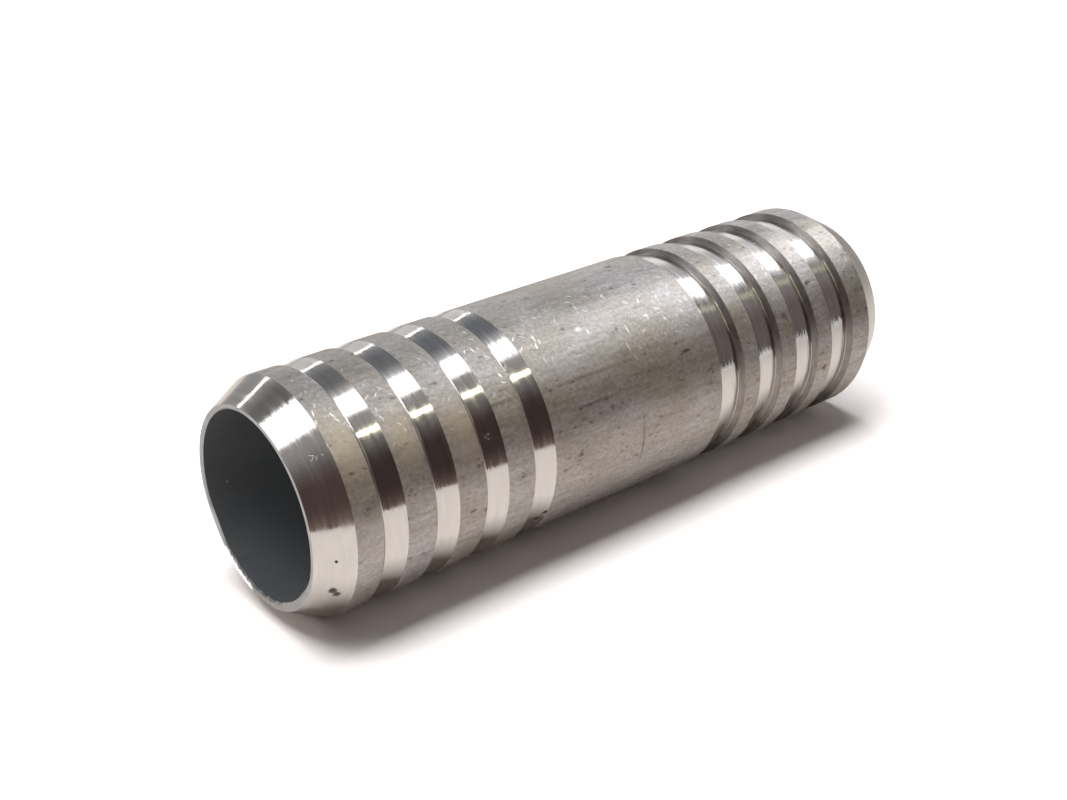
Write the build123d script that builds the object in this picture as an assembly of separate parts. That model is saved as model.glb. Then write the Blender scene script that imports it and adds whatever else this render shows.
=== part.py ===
"""Straight hose joiner: one length of aluminium tube with four hose barbs turned into each end.

Frame: millimetres, +Z along the bore. The joiner stands on its lower mouth, with the origin at
the centre of that mouth. The two ends are alike but for the depth of cut: one tool was fed in
deeper at the lower end, so its grooves are also wider.
"""
import os
from math import radians, tan
from build123d import *

# Driving dimensions, in millimetres and degrees.
body_diameter = 20.0        # tube as drawn: the barb lands and the plain middle keep it
wall = 2.0                  # wall of the tube as drawn; the bore goes straight through
plain_length = 19.087       # untouched tube between the two sets of barbs
groove_count = 4            # grooves turned into each end
groove_pitch = 4.87         # from one groove to the next
nose_length = 2.9           # cone that leads the hose on, measured along the tube
lip_width = 0.44            # wall left at the tip of the nose
nose_land_length = 2.35     # land between the nose and the first groove
upper_depth = 0.36          # depth of the upper grooves below the land
lower_depth = 0.48          # depth of the lower grooves, which were cut deeper
step_angle = 50.0           # steep side of a groove, which faces the middle of the tube
ramp_angle = 10.6           # long side of a groove, which rises to the next land
root_fillet = 0.15          # left by the tip of the turning tool at the bottom of a groove
bore_break = 0.12           # burr taken off the edge of the bore at each mouth

# Worked out from the driving dimensions.
body_radius = body_diameter / 2
bore_radius = body_radius - wall
lip_radius = bore_radius + lip_width
barbs_start = nose_length + nose_land_length


def step_length(depth):
    """Length along the tube of the steep side of a groove."""
    return depth / tan(radians(step_angle))


def groove_length(depth):
    """Length along the tube of a whole groove."""
    return step_length(depth) + depth / tan(radians(ramp_angle))


def end_length(depth):
    """From a mouth to the plain middle."""
    return barbs_start + (groove_count - 1) * groove_pitch + groove_length(depth)


overall_length = end_length(lower_depth) + plain_length + end_length(upper_depth)


def end_outline(depth):
    """Outline of an end as (radius, height), from its mouth up to the plain middle."""
    outline = [(bore_radius, bore_break), (bore_radius + bore_break, 0)]
    outline += [(lip_radius, 0), (body_radius, nose_length)]
    for number in range(groove_count):
        crest = barbs_start + number * groove_pitch
        outline.append((body_radius, crest))
        outline.append((body_radius - depth, crest + step_length(depth)))
        outline.append((body_radius, crest + groove_length(depth)))
    return outline


def turned_over(outline):
    """An end's outline at the top of the tube, run from the plain middle up to the mouth."""
    return [(radius, overall_length - height) for radius, height in reversed(outline)]


def is_root(corner):
    """True for a corner of the section at the bottom of a groove."""
    below_land = min(abs(corner.X - body_radius + depth) for depth in (upper_depth, lower_depth))
    return below_land < 0.001 and barbs_start < corner.Z < overall_length - barbs_start


def joiner():
    """Half section of the whole tube, turned once round the bore."""
    with BuildPart() as tube:
        with BuildSketch(Plane.XZ) as section:
            with BuildLine():
                Polyline(*end_outline(lower_depth), *turned_over(end_outline(upper_depth)), close=True)
            make_face()
            roots = [corner for corner in section.vertices() if is_root(corner)]
            fillet(roots, root_fillet)
        revolve(axis=Axis.Z)
    return tube.part


os.makedirs("parts", exist_ok=True)
export_step(joiner(), "parts/hose_joiner.step")
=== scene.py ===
import math
import bpy
import numpy as np
from mathutils import Matrix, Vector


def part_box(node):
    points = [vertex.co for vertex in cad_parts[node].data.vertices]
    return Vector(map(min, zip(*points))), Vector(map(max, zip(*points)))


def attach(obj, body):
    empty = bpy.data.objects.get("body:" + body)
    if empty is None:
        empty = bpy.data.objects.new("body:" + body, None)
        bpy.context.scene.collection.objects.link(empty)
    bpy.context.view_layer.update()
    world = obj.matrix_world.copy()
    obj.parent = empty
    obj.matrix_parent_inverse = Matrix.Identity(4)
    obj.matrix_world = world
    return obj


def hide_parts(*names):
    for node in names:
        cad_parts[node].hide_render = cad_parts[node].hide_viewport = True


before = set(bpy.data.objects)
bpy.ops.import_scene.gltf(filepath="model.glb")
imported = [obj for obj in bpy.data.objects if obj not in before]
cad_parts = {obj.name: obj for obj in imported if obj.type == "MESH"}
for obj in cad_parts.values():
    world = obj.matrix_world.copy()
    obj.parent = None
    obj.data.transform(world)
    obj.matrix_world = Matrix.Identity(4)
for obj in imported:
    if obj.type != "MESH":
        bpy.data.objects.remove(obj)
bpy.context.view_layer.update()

# ---- Hose joiner --------------------------------------------------------------------------------
# One length of drawn aluminium tube, sawn off at both ends. A lathe has cut a cone and four grooves
# at each end, and these are bright. The lands between the grooves and the plain middle keep the
# dull drawn skin.

MM = 0.001
low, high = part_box("hose_joiner")
body_radius = (high.x - low.x) / 2
length = high.z - low.z
wall, lip_width = 2.0 * MM, 0.44 * MM
bore_radius = body_radius - wall
lip_radius = bore_radius + lip_width
bore_break = 0.12 * MM
nose_length = 2.9 * MM
first_crest = nose_length + 2.35 * MM
groove_count = 4
groove_pitch = 4.87 * MM
upper_depth, lower_depth = 0.36 * MM, 0.48 * MM     # the lower grooves were cut deeper
step_slope = math.tan(math.radians(50))             # steep side, which faces the tube's middle
ramp_slope = math.tan(math.radians(10.6))           # long side, which rises to the next land

TURNED, DRAWN, BORE, LIP, STEP = range(5)           # finish of each stretch of the outline
ROUND = 256                                         # vertices round the tube
ARC_STEPS = 4                                       # facets on each rounded corner
MIDDLE_ROWS, BORE_ROWS = 30, 40                     # rows of faces on the two long stretches


def end_corners(depth):
    """Corners of one end, as heights above its mouth, from the bore to the plain middle.

    Each is (radius, height, rounding, finish of the stretch after it, rows on that stretch).
    """
    sharp, crisp, soft = 0.03 * MM, 0.04 * MM, 0.05 * MM
    shoulder, root_fillet = 0.06 * MM, 0.15 * MM
    corners = [
        (bore_radius, bore_break, crisp, LIP, 1),
        (bore_radius + bore_break, 0, sharp, LIP, 1),
        (lip_radius, 0, soft, TURNED, 6),
        (body_radius, nose_length, shoulder, DRAWN, 4),
    ]
    for number in range(groove_count):
        crest = first_crest + number * groove_pitch
        root = crest + depth / step_slope
        corners.append((body_radius, crest, sharp, STEP, 2))
        corners.append((body_radius - depth, root, root_fillet, TURNED, 4))
        corners.append((body_radius, root + depth / ramp_slope, soft, DRAWN, 4))
    return corners


def closed_corners():
    """Corners once round the section: up the outside from the lower mouth, and down the bore."""
    lower, end = end_corners(lower_depth), end_corners(upper_depth)
    lower[-1] = lower[-1][:4] + (MIDDLE_ROWS,)
    upper = []
    for index in range(len(end) - 1, -1, -1):
        radius, height, rounding = end[index][:3]
        finish, rows = end[index - 1][3:] if index > 0 else (BORE, BORE_ROWS)
        upper.append((radius, length - height, rounding, finish, rows))
    return lower + upper


def rounded_outline(corners):
    """Section outline as radius, height and finish, with each corner turned into a small arc.

    An arc touches both stretches at rounding * tan(turn / 2) from the corner. Its points are the
    quadratic blend (1-t)^2 * start + 2t(1-t) * corner + t^2 * end of those two touching points.
    """
    place = np.array([corner[:2] for corner in corners])
    points, finishes = [], []
    for index, (_, _, rounding, finish, rows) in enumerate(corners):
        here, before, after = place[index], place[index - 1], place[(index + 1) % len(place)]
        back = (before - here) / np.linalg.norm(before - here)
        ahead = (after - here) / np.linalg.norm(after - here)
        turn = math.pi - math.acos(np.clip(back @ ahead, -1, 1))
        reach = rounding * math.tan(turn / 2)
        reach = min(reach, 0.4 * np.linalg.norm(before - here), 0.4 * np.linalg.norm(after - here))
        along = np.linspace(0, 1, ARC_STEPS + 1)[:, None]
        start, end = here + back * reach, here + ahead * reach
        arc = (1 - along) ** 2 * start + 2 * along * (1 - along) * here + along ** 2 * end
        points += [arc, end + (after - end) * (np.arange(1, rows) / rows)[:, None]]
        finishes += [corners[index - 1][3]] * (ARC_STEPS // 2)
        finishes += [finish] * (ARC_STEPS - ARC_STEPS // 2 + rows)
    return np.concatenate(points), np.array(finishes)


def rim_damage(radius, height, angle):
    """Push of each point towards the bore, where the upper rim was knocked and left a burr.

    Round the tube, it is a dent (a bell curve), a ragged burr (a sum of sines) and a flat cut. At d
    below the mouth, all of it fades as exp(-(d / fade_depth)^2). The burr and the cut are on the
    bore side only, and the dent is half as deep on the outside.
    """
    dent_depth, dent_middle, dent_spread = 0.32 * MM, 124, 15
    burr_depth, cut_depth, fade_depth = 0.34 * MM, 0.30 * MM, 0.9 * MM
    turn = np.mod(angle, 2 * math.pi)
    around = np.degrees(turn)

    def stretch(start, end, rise, fall):
        """1 between two angles, in degrees, with a slope inside each of them."""
        return np.clip((around - start) / rise, 0, 1) * np.clip((end - around) / fall, 0, 1)

    dent = dent_depth * np.exp(-((around - dent_middle) / dent_spread) ** 2)
    ragged = 0.60 + 0.18 * np.sin(37 * turn) + 0.16 * np.sin(83 * turn + 1)
    ragged = ragged + 0.12 * np.sin(131 * turn)
    burr = burr_depth * ragged * stretch(139, 208, 6, 5) + cut_depth * stretch(200, 252, 8, 18)
    bore_side = np.clip((lip_radius - radius) / (lip_radius - bore_radius), 0, 1)
    fade = np.exp(-((length - height) / fade_depth) ** 2) * (height > length / 2)
    return fade * (dent * (0.5 + 0.5 * bore_side) + burr * bore_side)


def joiner_mesh():
    """The outline turned round +Z: x = r sin(a), y = -r cos(a), z = height, for every r and a."""
    outline, finishes = rounded_outline(closed_corners())
    rows = len(outline)
    angle = np.linspace(-math.pi, math.pi, ROUND, endpoint=False)
    radius, angle = np.meshgrid(outline[:, 0], angle, indexing="ij")
    height = np.repeat(outline[:, 1:], ROUND, axis=1)
    radius = radius - rim_damage(radius, height, angle)
    points = np.stack([radius * np.sin(angle), -radius * np.cos(angle), height], axis=-1)
    number = np.arange(rows * ROUND).reshape(rows, ROUND)
    below, above = number, np.roll(number, -1, axis=0)
    quads = np.stack(
        [below, np.roll(below, -1, axis=1), np.roll(above, -1, axis=1), above], axis=-1)
    mesh = bpy.data.meshes.new("hose_joiner_turned")
    mesh.from_pydata(points.reshape(-1, 3), [], quads.reshape(-1, 4))
    mesh.polygons.foreach_set("material_index", np.repeat(finishes, ROUND))
    mesh.shade_smooth()
    mesh.normals_split_custom_set_from_vertices(area_normals(points))
    return mesh


def area_normals(points):
    """Normal at each grid point: the sum of the cross products of the faces that meet there."""
    right, up = np.roll(points, -1, axis=1) - points, np.roll(points, -1, axis=0) - points
    corner = np.roll(np.roll(points, -1, axis=0), -1, axis=1) - points
    face = np.cross(right, corner) + np.cross(corner, up)
    total = face + np.roll(face, 1, axis=0)
    total = total + np.roll(total, 1, axis=1)
    return (total / np.linalg.norm(total, axis=-1, keepdims=True)).reshape(-1, 3)


def put(tree, kind, sockets=None, **settings):
    """Add a node. sockets maps inputs to values, or to the outputs that feed them."""
    node = tree.nodes.new("ShaderNode" + kind)
    for name, value in settings.items():
        setattr(node, name, value)
    for name, value in (sockets or {}).items():
        if isinstance(value, bpy.types.NodeSocket):
            tree.links.new(value, node.inputs[name])
        else:
            node.inputs[name].default_value = value
    return node


def new_group(name, inputs, outputs):
    """An empty node group with those sockets. Returns its tree and its two end nodes."""
    tree = bpy.data.node_groups.new(name, "ShaderNodeTree")
    for socket, (kind, default) in inputs.items():
        made = tree.interface.new_socket(socket, in_out="INPUT", socket_type="NodeSocket" + kind)
        made.default_value = default
    for socket, kind in outputs.items():
        tree.interface.new_socket(socket, in_out="OUTPUT", socket_type="NodeSocket" + kind)
    return tree, tree.nodes.new("NodeGroupInput"), tree.nodes.new("NodeGroupOutput")


def times(tree, value, factor):
    return put(tree, "Math", {0: value, 1: factor}, operation="MULTIPLY").outputs[0]


def plus(tree, first, second):
    return put(tree, "Math", {0: first, 1: second}, operation="ADD").outputs[0]


def larger(tree, first, second):
    return put(tree, "Math", {0: first, 1: second}, operation="MAXIMUM").outputs[0]


def between(tree, value, low, high, first=0.0, last=1.0):
    """first to last as the value runs from low to high."""
    sockets = {"From Min": low, "From Max": high, "To Min": first, "To Max": last}
    return put(tree, "MapRange", {"Value": value, **sockets}).outputs[0]


def object_place(tree):
    return put(tree, "TexCoord").outputs["Object"]


def streak_group():
    """Noise in object space, stretched by a scale for each axis: brushed, drawn or mottled."""
    tree, given, result = new_group(
        "streaks", {"Scale": ("Vector", (1, 1, 1)), "Detail": ("Float", 2.0)}, {"Value": "Float"})
    scaled = put(tree, "VectorMath", {0: object_place(tree), 1: given.outputs["Scale"]},
                 operation="MULTIPLY")
    noise = put(tree, "TexNoise", {
        "Vector": scaled.outputs[0], "Scale": 1.0, "Detail": given.outputs["Detail"],
        "Roughness": 0.55})
    tree.links.new(noise.outputs["Fac"], result.inputs["Value"])
    return tree


def pit_group():
    """Round or long pits. Each cell of a Voronoi pattern may hold one, of its own size.

    A pit is 1 - distance * noise / (size * random), kept above 0, where the cell's other random
    number is below the share of cells that hold one. The noise makes its edge ragged.
    """
    tree, given, result = new_group(
        "pits",
        {"Scale": ("Vector", (1, 1, 1)), "Size": ("Float", 0.3), "Share": ("Float", 0.3)},
        {"Mask": "Float"})
    scaled = put(tree, "VectorMath", {0: object_place(tree), 1: given.outputs["Scale"]},
                 operation="MULTIPLY").outputs[0]
    cell = put(tree, "TexVoronoi", {"Vector": scaled, "Scale": 1.0})
    chance = put(tree, "SeparateColor", {"Color": cell.outputs["Color"]})
    reach = times(tree, chance.outputs["Green"], given.outputs["Size"])
    edge = put(tree, "TexNoise", {"Vector": scaled, "Scale": 4.0, "Detail": 2.0}).outputs["Fac"]
    off = times(tree, cell.outputs["Distance"], between(tree, edge, 0.3, 0.7, 0.3, 1.9))
    ratio = put(tree, "Math", {0: off, 1: reach}, operation="DIVIDE").outputs[0]
    depth = put(tree, "Math", {0: 1.0, 1: ratio}, operation="SUBTRACT", use_clamp=True).outputs[0]
    held = put(tree, "Math", {0: chance.outputs["Red"], 1: given.outputs["Share"]},
               operation="LESS_THAN").outputs[0]
    tree.links.new(times(tree, depth, held), result.inputs["Mask"])
    return tree


def scratch_group():
    """Short straight scratches at random slants, one to a cell of a Voronoi pattern.

    A scratch is where a plane through the cell's centre, facing a random way, meets the surface:
    |local . facing| is below its width and |local| is below its length.
    """
    tree, given, result = new_group(
        "scratches",
        {"Scale": ("Float", 700.0), "Width": ("Float", 0.03), "Length": ("Float", 0.6),
         "Share": ("Float", 0.3)},
        {"Mask": "Float"})
    scaled = put(tree, "VectorMath", {0: object_place(tree), "Scale": given.outputs["Scale"]},
                 operation="SCALE").outputs[0]
    cell = put(tree, "TexVoronoi", {"Vector": scaled, "Scale": 1.0})
    local = put(tree, "VectorMath", {0: scaled, 1: cell.outputs["Position"]},
                operation="SUBTRACT").outputs[0]
    slant = put(tree, "VectorMath", {0: cell.outputs["Color"], 1: (0.5, 0.5, 0.5)},
                operation="SUBTRACT").outputs[0]
    facing = put(tree, "VectorMath", {0: slant}, operation="NORMALIZE").outputs[0]
    across = put(tree, "VectorMath", {0: local, 1: facing}, operation="DOT_PRODUCT")
    off = put(tree, "Math", {0: across.outputs["Value"]}, operation="ABSOLUTE").outputs[0]
    thin = between(tree, off, given.outputs["Width"], 0.0)
    reach = put(tree, "VectorMath", {0: local}, operation="LENGTH").outputs["Value"]
    short = between(tree, reach, given.outputs["Length"], 0.2)
    chance = put(tree, "SeparateColor", {"Color": cell.outputs["Color"]}).outputs["Blue"]
    held = put(tree, "Math", {0: chance, 1: given.outputs["Share"]},
               operation="LESS_THAN").outputs[0]
    tree.links.new(times(tree, times(tree, thin, short), held), result.inputs["Mask"])
    return tree


streaks, pits, scratches = streak_group(), pit_group(), scratch_group()


def placed(tree, group, **values):
    """The output of a node group whose inputs are set to those values."""
    node = put(tree, "Group", node_tree=group)
    for name, value in values.items():
        node.inputs[name].default_value = value
    return node.outputs[0]


def metal(name, anisotropy=0.0):
    """A bare metal. With anisotropy, its highlights stretch as over lines round the tube."""
    material = bpy.data.materials.new(name)
    material.use_nodes = True
    tree = material.node_tree
    shader = tree.nodes["Principled BSDF"]
    shader.inputs["Metallic"].default_value = 1
    if anisotropy:
        shader.inputs["Anisotropic"].default_value = anisotropy
        tangent = put(tree, "Tangent", direction_type="RADIAL", axis="Z")
        tree.links.new(tangent.outputs[0], shader.inputs["Tangent"])
    return material, tree, shader


def mix_colour(tree, factor, first, second):
    return put(tree, "Mix", {"Factor": factor, "A": first, "B": second},
               data_type="RGBA").outputs["Result"]


def shade_between(tree, value, low, high, dark, light):
    """Colour that runs from dark to light as the value runs from low to high."""
    return mix_colour(tree, between(tree, value, low, high), (*dark, 1), (*light, 1))


def add_bump(tree, shader, height, strength, distance):
    bump = put(tree, "Bump", {"Height": height, "Strength": strength, "Distance": distance})
    tree.links.new(bump.outputs[0], shader.inputs["Normal"])


def mark(tree, angle, below_mouth, width, depth):
    """One knock in the metal: an uneven spot, width across and depth along the tube, in mm.

    It is 1.5 - |(p - centre) / size| - noise, kept from 0 to 1, where size is half of width and
    depth. Its centre is on the surface, angle degrees from straight above and so far below the
    upper mouth.
    """
    turn = math.radians(angle)
    up_cone = min(1.0, below_mouth * MM / nose_length)
    radius = lip_radius + (body_radius - lip_radius) * up_cone
    centre = (radius * math.sin(turn), -radius * math.cos(turn), length - below_mouth * MM)
    size = (width / 2 * MM, width / 2 * MM, depth / 2 * MM)
    where = object_place(tree)
    local = put(tree, "VectorMath", {0: where, 1: centre}, operation="SUBTRACT").outputs[0]
    scaled = put(tree, "VectorMath", {0: local, 1: size}, operation="DIVIDE").outputs[0]
    off = put(tree, "VectorMath", {0: scaled}, operation="LENGTH").outputs["Value"]
    edge = put(tree, "TexNoise", {"Vector": where, "Scale": 5200.0, "Detail": 2.0}).outputs["Fac"]
    return put(tree, "Math", {0: 1.5, 1: plus(tree, off, edge)},
               operation="SUBTRACT", use_clamp=True).outputs[0]


def marks(tree, places):
    """Several marks as one mask. Each place is (angle, below_mouth, width, depth)."""
    total = mark(tree, *places[0])
    for place in places[1:]:
        total = larger(tree, total, mark(tree, *place))
    return total


def turned_metal():
    """Bright aluminium with fine and coarse tool lines round the tube, faint stains and pits."""
    material, tree, shader = metal("turned_aluminium", 0.5)
    fine = placed(tree, streaks, Scale=(90, 90, 7000), Detail=2.0)
    broad = placed(tree, streaks, Scale=(260, 260, 2600), Detail=2.0)
    stain = placed(tree, streaks, Scale=(330, 330, 330), Detail=2.0)
    pit = placed(tree, pits, Scale=(900, 900, 700), Size=0.22, Share=0.04)
    knock = marks(tree, [
        (-95, 1.5, 0.3, 0.3), (-114.5, 1.5, 0.9, 0.8), (-117, 1.8, 0.8, 0.7),   # on the nose
        (-123, 21.3, 0.7, 0.7), (-118, 21.9, 0.6, 0.6)])                        # in groove four
    pitted = larger(tree, pit, times(tree, knock, 2.0))
    skin = shade_between(tree, broad, 0.3, 0.7, (0.79, 0.775, 0.76), (0.88, 0.865, 0.85))
    dulled = mix_colour(tree, times(tree, stain, 0.2), skin, (0.66, 0.64, 0.62, 1))
    coloured = mix_colour(tree, pitted, dulled, (0.16, 0.13, 0.12, 1))
    tree.links.new(coloured, shader.inputs["Base Color"])
    tree.links.new(between(tree, broad, 0.3, 0.7, 0.06, 0.15), shader.inputs["Roughness"])
    lines = plus(tree, times(tree, fine, 0.8), times(tree, broad, 1.2))
    add_bump(tree, shader, plus(tree, lines, times(tree, pitted, -3.0)), 1.0, 0.012 * MM)
    return material


def torn_metal(name, dark, light):
    """Aluminium that a tool's corner or a saw left rough, with lines round the tube."""
    material, tree, shader = metal(name, 0.5)
    broad = placed(tree, streaks, Scale=(900, 900, 5000), Detail=2.0)
    skin = shade_between(tree, broad, 0.3, 0.7, dark, light)
    tree.links.new(skin, shader.inputs["Base Color"])
    shader.inputs["Roughness"].default_value = 0.30
    return material, tree, shader, skin


def lip_metal():
    """The sawn faces at the mouths, in a grey darkened as painted shade.

    The upper one's torn rim has dark specks, painted shade of its ragged burr, and the burr shows a
    painted glint, white and glowing.
    """
    # The grey of the sawn lip is set darker than bare aluminium: painted shade.
    material, tree, shader, skin = torn_metal("sawn_lip_painted_shade", (0.44, 0.455, 0.47), (0.58, 0.60, 0.62))
    # Dark specks on the torn rim of the upper mouth are painted shade of the ragged burr's facets.
    torn_rim = between(tree, mark(tree, 176, 0.05, 10.0, 3.0), 0.0, 0.25)
    speck = placed(tree, pits, Scale=(5200, 5200, 5200), Size=0.8, Share=0.55)
    speck_painted_shade = times(tree, times(tree, speck, torn_rim), 0.85)
    # A painted glint on the burr: its colour goes to white and it glows.
    burr_painted_glint = marks(tree, [(angle, 0.05, 1.2, 0.7) for angle in (141, 146, 151, 156, 161, 166)])
    with_speck_painted_shade = mix_colour(tree, speck_painted_shade, skin, (0.10, 0.10, 0.10, 1))
    with_burr_painted_glint = mix_colour(tree, times(tree, burr_painted_glint, 2.5), with_speck_painted_shade, (1, 1, 1, 1))
    tree.links.new(with_burr_painted_glint, shader.inputs["Base Color"])
    shader.inputs["Emission Color"].default_value = (1, 1, 1, 1)
    tree.links.new(times(tree, burr_painted_glint, 1.2), shader.inputs["Emission Strength"])
    return material


def step_metal():
    """The steep sides of the grooves, which the corner of the tool tore.

    Their dark grey is painted shade.
    """
    return torn_metal("torn_step_painted_shade", (0.26, 0.24, 0.23), (0.40, 0.375, 0.36))[0]


def scratch_painted_glints(tree):
    """Scratches and gouges in patches by a noise, on the upper side where the highlight lies.

    drawn_metal paints them near white: a painted glint.
    """
    highlight_side = math.radians(-27)
    upwards = (math.sin(highlight_side) / body_radius, -math.cos(highlight_side) / body_radius, 0)
    facing = put(tree, "VectorMath", {0: object_place(tree), 1: upwards},
                 operation="DOT_PRODUCT").outputs["Value"]
    handled = placed(tree, streaks, Scale=(210, 210, 130), Detail=2.0)
    glint_patches = times(tree, between(tree, facing, 0.84, 0.97), between(tree, handled, 0.40, 0.52))
    scratch = placed(tree, scratches, Scale=1500.0, Width=0.11, Length=0.52, Share=0.34)
    hairline = placed(tree, scratches, Scale=2900.0, Width=0.11, Length=0.55, Share=0.40)
    gouge = marks(tree, [
        (-30, 28.6, 0.5, 0.9), (-33, 29.3, 0.7, 0.3), (-39, 33.0, 1.3, 0.22),
        (-47, 32.2, 0.9, 0.20), (-27, 24.2, 0.9, 0.22), (-35, 35.6, 0.3, 0.7)])
    return plus(tree, times(tree, plus(tree, scratch, times(tree, hairline, 0.6)), glint_patches), gouge)


def drawn_metal():
    """Dull drawn skin: grain, stains, brown specks and smudges, a film, nicks and scratches.

    The scratches carry painted glints.
    """
    material, tree, shader = metal("drawn_aluminium")
    die_lines = placed(tree, streaks, Scale=(3000, 3000, 330), Detail=3.0)
    stain = placed(tree, streaks, Scale=(240, 240, 150), Detail=4.0)
    mottle = placed(tree, streaks, Scale=(3600, 3600, 2600), Detail=4.0)
    smudge = placed(tree, streaks, Scale=(1100, 1100, 240), Detail=3.0)
    speck = placed(tree, pits, Scale=(2600, 2600, 1500), Size=0.62, Share=0.36)
    ding = placed(tree, pits, Scale=(800, 800, 520), Size=0.34, Share=0.13)
    with_speck_painted_shade = times(tree, speck, larger(tree, 0.15, between(tree, smudge, 0.46, 0.58)))
    scratch_glints = scratch_painted_glints(tree)
    film = marks(tree, [(-46, 4.2, 9.0, 4.0), (-50, 9.1, 7.0, 4.0), (-56, 14.5, 7.0, 5.0)])
    nick = marks(tree, [
        (-51, 17.0, 0.5, 7.5), (-53, 26.5, 0.5, 7.0), (-66, 27.0, 0.4, 6.0),    # along the tube
        (-62.8, 10.2, 0.7, 0.6), (-95, 31.8, 6.0, 0.40),                        # the last, round it
        (1.5, 27.4, 0.9, 0.9), (6, 25.6, 0.6, 0.9), (13, 23.2, 0.7, 0.7), (-71, 28.6, 0.9, 0.5)])

    skin = shade_between(tree, stain, 0.38, 0.62, (0.545, 0.515, 0.470), (0.625, 0.603, 0.613))
    grain = shade_between(tree, plus(tree, times(tree, mottle, 0.7), times(tree, die_lines, 0.3)),
                          0.38, 0.62, (0.76, 0.76, 0.76), (1.12, 1.12, 1.12))
    toned = put(tree, "Mix", {"Factor": 1.0, "A": skin, "B": grain},
                data_type="RGBA", blend_type="MULTIPLY").outputs["Result"]
    smeared = mix_colour(tree, times(tree, between(tree, smudge, 0.52, 0.68), 0.42),
                         toned, (0.36, 0.32, 0.30, 1))
    filmed = mix_colour(tree, times(tree, film, 0.75), smeared, (0.74, 0.66, 0.52, 1))
    # Scratches and gouges turn near white: a painted glint.
    lit = mix_colour(tree, times(tree, scratch_glints, 1.2), filmed, (1.0, 0.99, 0.97, 1))
    dirt = plus(tree, times(tree, with_speck_painted_shade, 0.9), plus(tree, ding, times(tree, nick, 0.6)))
    dirty = mix_colour(tree, dirt, lit, (0.15, 0.12, 0.10, 1))
    tree.links.new(dirty, shader.inputs["Base Color"])

    rough = between(tree, mottle, 0.3, 0.7, 0.44, 0.58)
    tree.links.new(plus(tree, rough, times(tree, scratch_glints, -0.22)), shader.inputs["Roughness"])
    height = plus(tree, plus(tree, times(tree, mottle, 0.7), times(tree, die_lines, 0.25)),
                  plus(tree, times(tree, scratch_glints, -2.2), times(tree, ding, -1.6)))
    add_bump(tree, shader, height, 0.55, 0.014 * MM)
    return material


def bore_metal():
    """Dark oxide skin of the bore, which was never turned, with specks of dust.

    A very faint glow stands for the light that the walls of the bore throw on each other.
    """
    material, tree, shader = metal("bore_skin")
    stain = placed(tree, streaks, Scale=(300, 300, 120), Detail=3.0)
    dust = placed(tree, pits, Scale=(900, 900, 900), Size=0.10, Share=0.06)
    skin = shade_between(tree, stain, 0.3, 0.7, (0.135, 0.144, 0.157), (0.165, 0.176, 0.19))
    dusted = mix_colour(tree, dust, skin, (0.75, 0.75, 0.75, 1))
    tree.links.new(dusted, shader.inputs["Base Color"])
    shader.inputs["Metallic"].default_value = 0.5
    shader.inputs["Roughness"].default_value = 0.62
    shader.inputs["Emission Color"].default_value = (0.92, 0.97, 1.0, 1)
    shader.inputs["Emission Strength"].default_value = 0.013
    return material


mesh = joiner_mesh()
for material in (turned_metal(), drawn_metal(), bore_metal(), lip_metal(), step_metal()):
    mesh.materials.append(material)
joiner = bpy.data.objects.new("turned_tube", mesh)
bpy.context.collection.objects.link(joiner)
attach(joiner, "root")
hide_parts("hose_joiner")

# ---- Studio floor -------------------------------------------------------------------------------
# A sheet of white paper, tangent to the side of the joiner, which lies on it along +Z. Its face
# looks to -Y. From behind, a view passes through it. Its curved edge at -X is what the metal shows
# as the foot of the wall.


def stage_object(name, mesh, material):
    mesh.materials.append(material)
    thing = bpy.data.objects.new(name, mesh)
    bpy.context.collection.objects.link(thing)
    return thing


def empty_material(name):
    material = bpy.data.materials.new(name)
    material.use_nodes = True
    material.node_tree.nodes.clear()
    return material, material.node_tree


def paper_material():
    """Matt paper: white to the camera, a little warm in the metal, and clear from behind.

    In the metal it also goes darker beyond the lower end: painted shade.
    """
    material, tree = empty_material("paper")
    seen = put(tree, "LightPath").outputs["Is Camera Ray"]
    place = put(tree, "SeparateXYZ", {"Vector": object_place(tree)})
    # In the metal, the paper beyond the lower end goes darker: painted shade.
    far_painted_shade = between(tree, place.outputs["Z"], -0.012, -0.09)
    mirrored_with_shade = mix_colour(tree, far_painted_shade, (0.77, 0.71, 0.66, 1), (0.40, 0.37, 0.345, 1))
    shade = mix_colour(tree, seen, mirrored_with_shade, (1.38, 1.33, 1.32, 1))
    paper = put(tree, "BsdfDiffuse", {"Color": shade})
    clear = put(tree, "BsdfTransparent")
    behind = put(tree, "NewGeometry").outputs["Backfacing"]
    either = put(tree, "MixShader", {"Fac": behind, 1: paper.outputs[0], 2: clear.outputs[0]})
    put(tree, "OutputMaterial", {"Surface": either.outputs[0]})
    return material


floor_level = body_radius + 0.02 * MM               # just clear of the tube
floor_corners = [
    (-0.045, -1.5), (1.5, -1.5), (1.5, 0.9), (-0.03, 0.9), (-0.0675, 0.092),
    (-0.0855, 0.046), (-0.095, 0.02), (-0.085, -0.01), (-0.045, -0.045)]    # (x, z), in metres
floor_mesh = bpy.data.meshes.new("floor")
floor_points = [(x, floor_level, z) for x, z in floor_corners]
floor_mesh.from_pydata(floor_points, [], [range(len(floor_points))])
stage_object("floor", floor_mesh, paper_material())

# ---- Studio lights ------------------------------------------------------------------------------
# A key light over the joiner lights the paper. Round them stand glowing panels, which the metal
# shows as bands along the tube. Each is a stretch of a wide cylinder round the joiner's axis.


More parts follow.
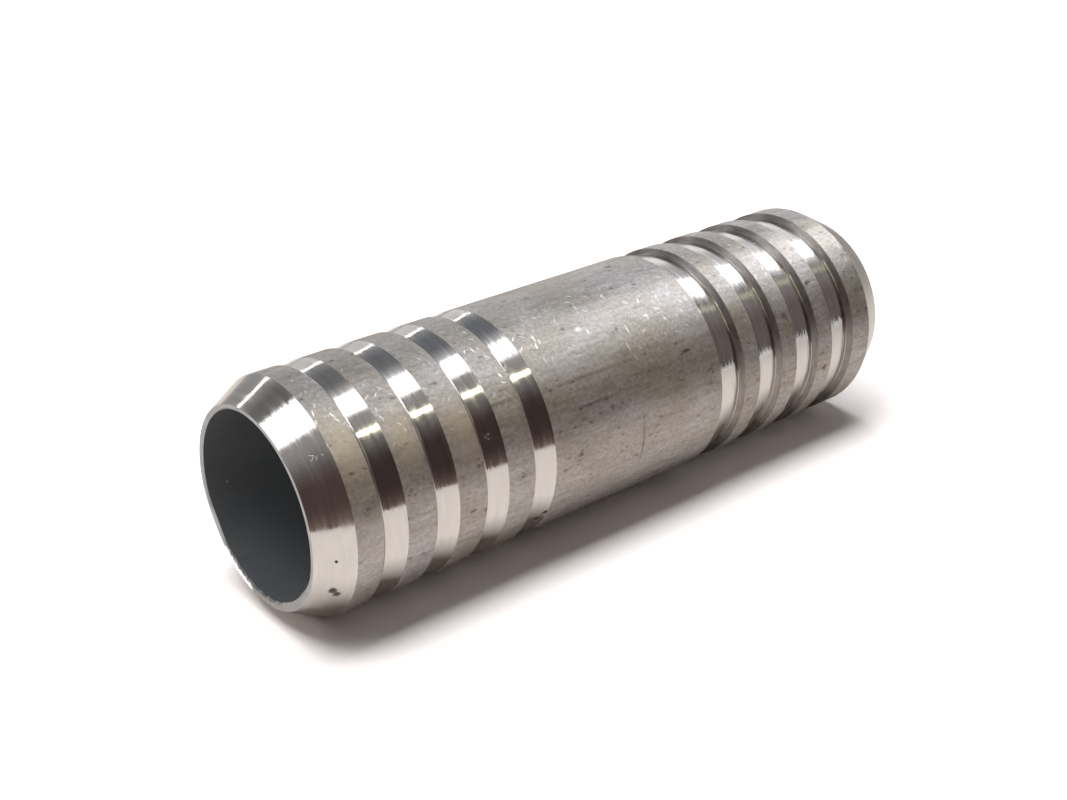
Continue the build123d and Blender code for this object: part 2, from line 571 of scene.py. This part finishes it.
def glow_material(name, colour, opaque):
    """Light of one colour, as strong as the mesh's attribute says, over whatever is behind it."""
    material, tree = empty_material(name)
    strength = put(tree, "Attribute", attribute_name="strength").outputs["Fac"]
    light = put(tree, "Emission", {"Color": (*colour, 1), "Strength": strength})
    clear = put(tree, "BsdfTransparent", {"Color": (0, 0, 0, 1) if opaque else (1, 1, 1, 1)})
    both = put(tree, "AddShader", {0: light.outputs[0], 1: clear.outputs[0]})
    put(tree, "OutputMaterial", {"Surface": both.outputs[0]})
    material.cycles.emission_sampling = "NONE"
    return material


def panel(name, edges, colour, strength, soft=(0, 0), fade=(0, 0), opaque=False):
    """A curved panel: x = D sin(a), y = -D cos(a), z = middle - t D, for every a and every t.

    edges lists (t, first a, last a) along the panel, with a in degrees from straight above. Its
    light falls smoothly to nothing over soft degrees at each edge, and over fade in t at each end.
    """
    points_each_way = 41
    distance = 0.62 if opaque else 0.6              # the walls stand behind the rest
    stops, first, last = np.array(edges, dtype=float).T
    along = np.linspace(stops[0], stops[-1], points_each_way)[:, None]
    across = np.linspace(0, 1, points_each_way)[None, :]
    start, end = np.interp(along, stops, first), np.interp(along, stops, last)
    turn = start + (end - start) * across
    points = np.stack([
        distance * np.sin(np.radians(turn)), -distance * np.cos(np.radians(turn)),
        length / 2 - distance * along * np.ones_like(turn)], axis=-1)

    def rise(gap, width):
        """Smooth step from 0 to 1 as the gap to an edge grows to the width. 0 is a sharp edge."""
        share = np.clip(gap / max(width, 1e-6), 0, 1)
        return share * share * (3 - 2 * share)

    falls = rise(turn - start, soft[0]) * rise(end - turn, soft[1])
    falls = falls * rise(along - stops[0], fade[0]) * rise(stops[-1] - along, fade[1])
    number = np.arange(turn.size).reshape(turn.shape)
    quads = np.stack([number[:-1, :-1], number[:-1, 1:], number[1:, 1:], number[1:, :-1]], axis=-1)
    mesh = bpy.data.meshes.new(name)
    mesh.from_pydata(points.reshape(-1, 3), [], quads.reshape(-1, 4))
    glow = mesh.attributes.new("strength", "FLOAT", "POINT")
    glow.data.foreach_set("value", (falls * strength).ravel())
    thing = stage_object(name, mesh, glow_material(name, colour, opaque))
    thing.visible_camera = False
    thing.visible_diffuse = False
    thing.visible_shadow = False


WHITE, GREY, PALE_BROWN = (1, 1, 1), (1, 0.98, 0.97), (1, 0.88, 0.85)
BROWN, YELLOW, AMBER, SLATE = (1, 0.68, 0.61), (1, 0.98, 0.74), (1, 0.90, 0.62), (0.1, 0.45, 1)

# The dim walls of the room
panel("brown_wall", [(-4, -105, -6), (30, -105, -6)], BROWN, 0.042, opaque=True)
panel("grey_wall", [(-4, -6, 105), (30, -6, 105)], GREY, 0.15, opaque=True)
panel("slate_wall", [(0.08, -6, 62), (9, -6, 62)], SLATE, 0.03, (0, 10), (0.15, 0))
panel("brown_wall_near", [(-4, -105, -40), (0, -105, -40)], BROWN, 0.030, (10, 10), (0, 0.5))
panel("brown_wall_far", [(1.2, -105, -20), (30, -105, -20)], PALE_BROWN, 0.085, (10, 10), (0.5, 0))
panel("brown_wall_middle", [(0.42, -105, -25), (1.3, -105, -25)],
      BROWN, 0.06, (10, 10), (0.05, 0.2))
panel("skirting", [(-4, -105, -80), (1.5, -105, -80)], BROWN, 0.08, (0, 22), (0, 0.5))

# The soft light round the windows and the strip
panel("window_halo", [(-4, -58, -6), (0.55, -58, -6)], GREY, 0.26, (46, 0), (0, 0.15))
panel("window_halo_far", [(0.45, -58, -6), (9, -58, -6)], GREY, 0.13, (46, 0), (0.15, 0))
panel("window_tail", [(-0.3, -6, 28), (9, -6, 28)], GREY, 0.40, (0, 20), (0.1, 0))
panel("strip_halo", [(-4, 42, 62), (9, 42, 62)], GREY, 0.12, (20, 0))

# The windows, nearly overhead
panel("window", [(-1.2, -9, 30), (-0.38, -9, 30), (-0.15, -10, 15), (0.4, -11, 12)],
      WHITE, 1.6, (3, 2), (0.3, 0.2))
panel("high_window", [(0.90, 0, 28), (1.2, 0, 28)], WHITE, 4.6, (6, 6), (0.15, 0.1))
panel("end_window", [(1.10, -20, 26), (1.4, -20, 26)], WHITE, 14.0, (6, 6), (0.08, 0.1))
panel("far_window", [(1.2, -10, 30), (1.5, 4, 35), (2.6, 6, 39)],
      WHITE, 2.2, (4, 6), (0.1, 0.4))

# A yellow lamp on one side, and a narrow white strip on the other
panel("lamp", [(-0.35, -30.5, -26.2), (0.4, -30.5, -26.2)], YELLOW, 4.5, (0.8, 0.8), (0.08, 0.15))
panel("lamp_glow", [(0.41, -64, -22), (0.60, -60, -18)], AMBER, 2.6, (16, 12), (0.02, 0.14))
panel("far_lamp", [(1.5, -24, -12), (2.6, -24, -12)], YELLOW, 0.35, (3, 3), (0.2, 0.2))
panel("strip", [(-0.7, 61.5, 64), (0.5, 62.5, 65)], WHITE, 4.5, (0.8, 0.8), (0.1, 0.1))

# A pale backdrop beyond the strip, brighter towards the lower end of the tube
panel("backdrop_near", [(-4, 62, 105), (9, 62, 105)], GREY, 0.14)
panel("backdrop", [(0.05, 65, 105), (9, 65, 105)], GREY, 0.36, (3, 0), (0.30, 0))
panel("backdrop_far", [(0.42, 25, 105), (0.98, 25, 105)], GREY, 1.18, (40, 0), (0.5, 0.08))
panel("backdrop_end", [(0.96, 25, 105), (1.9, 25, 75)], GREY, 0.22, (0, 0), (0.08, 0.2))
panel("backdrop_last", [(1.4, 25, 105), (9, 25, 105)], GREY, 0.42, (0, 0), (0.2, 1.0))

key = bpy.data.lights.new("key", "AREA")
key.shape = "RECTANGLE"
key.size, key.size_y = 0.30, 0.50
key.energy = 3.6
key_lamp = bpy.data.objects.new("key", key)
key_turn, key_distance, key_shift = math.radians(4), 0.55, 0.08
key_reach = np.array([
    key_distance * math.sin(key_turn), -key_distance * math.cos(key_turn), key_shift])
key_place = key_reach + np.array([0, 0, length / 2])                # it looks at the middle
key_back = key_reach / np.linalg.norm(key_reach)
key_side = np.cross([0.0, 0.0, 1.0], key_back)
key_side = key_side / np.linalg.norm(key_side)
key_axes = np.stack([key_side, np.cross(key_back, key_side), key_back], axis=1)
key_lamp.matrix_world = Matrix.Translation(key_place) @ Matrix(key_axes).to_4x4()
key_lamp.visible_glossy = False
bpy.context.collection.objects.link(key_lamp)

# The world is white to the camera and in the metal, and dim where it lights the paper
world = bpy.data.worlds.new("studio")
bpy.context.scene.world = world
world.use_nodes = True
sky = world.node_tree
sky.nodes.clear()
rays = put(sky, "LightPath").outputs
seen = larger(sky, rays["Is Camera Ray"], rays["Is Glossy Ray"])
seen = larger(sky, seen, rays["Is Transmission Ray"])
dim = put(sky, "Background", {"Color": (1.0, 0.92, 0.90, 1), "Strength": 0.07})
white = put(sky, "Background", {"Color": (1, 1, 1, 1), "Strength": 1.0})
either = put(sky, "MixShader", {"Fac": seen, 1: dim.outputs[0], 2: white.outputs[0]})
put(sky, "OutputWorld", {"Surface": either.outputs[0]})

# ---- Camera -------------------------------------------------------------------------------------
# A hand-held camera that looks down on the joiner as it lies on its side. It is placed by where
# the upper mouth and the bore's direction appear to it, in its own axes: right, down, ahead.

picture_width = 1067
focal_pixels = 1511.1
mouth_seen = np.array([-2.1516, 0.8378, 11.6194]) * body_radius
bore_seen = np.array([0.77013, -0.28962, 0.56834])
bore_seen = bore_seen / np.linalg.norm(bore_seen)
up_seen = np.array([0.0, -bore_seen[2], bore_seen[1]])
up_seen = up_seen / np.linalg.norm(up_seen)
side_seen = np.cross(up_seen, bore_seen)
part_axes = np.stack([side_seen, -up_seen, -bore_seen])
origin_seen = mouth_seen + length * bore_seen
camera_place = -part_axes @ origin_seen
camera_axes = part_axes @ np.diag([1.0, -1.0, -1.0])
camera_data = bpy.data.cameras.new("camera")
camera_data.sensor_width = 36
camera_data.lens = focal_pixels / picture_width * camera_data.sensor_width
camera_data.clip_start = 0.005
camera_data.clip_end = 10
camera = bpy.data.objects.new("camera", camera_data)
camera.matrix_world = Matrix.Translation(camera_place) @ Matrix(camera_axes).to_4x4()
bpy.context.collection.objects.link(camera)
bpy.context.scene.camera = camera
bpy.context.scene.view_settings.view_transform = "Standard"
